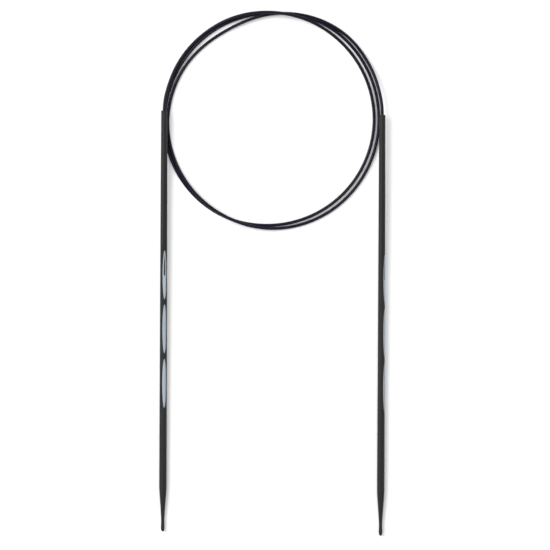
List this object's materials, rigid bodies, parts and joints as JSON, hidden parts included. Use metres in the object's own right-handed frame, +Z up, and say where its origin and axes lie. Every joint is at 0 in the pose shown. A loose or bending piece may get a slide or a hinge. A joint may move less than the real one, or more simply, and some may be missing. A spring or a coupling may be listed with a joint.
{
  "type": "circular knitting needle",
  "caption": "Circular knitting needle: slim dark tips with pale oval windows and drop-shaped points, joined by a thin flexible cord that lies coiled.",
  "frame": {"origin": "on the surface that the needle lies on, under the middle of the two tips' own box", "axes": "+Y along the tips from their points towards the coiled cord, +X from the left tip to the right tip, +Z up from the surface"},
  "size_m": [0.091, 0.2135, 0.0046],
  "materials": {
    "tip_skin": "satin charcoal black moulded plastic",
    "tip_core": "pale blue-grey moulded plastic",
    "cord": "near-black, slightly glossy flexible plastic cord",
    "cord_stop": "dark moulded plastic"
  },
  "bodies": {
    "cord": {"cord_coil": "cord", "left_cord_lead": "cord", "right_cord_lead": "cord"},
    "left_cord_end": {"left_cord_tail": "cord", "left_cord_stop": "cord_stop"},
    "left_tip": {"left_tip_skin": "tip_skin", "left_tip_core": "tip_core"},
    "right_cord_end": {"right_cord_tail": "cord", "right_cord_stop": "cord_stop"},
    "right_tip": {"right_tip_skin": "tip_skin", "right_tip_core": "tip_core"}
  },
  "joints": [
    {"name": "left_tip_swing", "type": "hinge", "parent": "cord", "child": "left_cord_end", "pos_m": [-0.044, 0.0857, 0.0034], "axis": [0, 0, 1], "range_deg": [-20, 12]},
    {"name": "left_tip_roll", "type": "hinge", "parent": "left_cord_end", "child": "left_tip", "pos_m": [-0.044, 0.0857, 0.0034], "axis": [0, -0.9999, -0.0125], "range_deg": [-180, 180]},
    {"name": "right_tip_swing", "type": "hinge", "parent": "cord", "child": "right_cord_end", "pos_m": [0.044, 0.0843, 0.0034], "axis": [0, 0, 1], "range_deg": [-12, 20]},
    {"name": "right_tip_roll", "type": "hinge", "parent": "right_cord_end", "child": "right_tip", "pos_m": [0.044, 0.0843, 0.0034], "axis": [0, -0.9999, -0.0125], "range_deg": [-180, 180]}
  ]
}
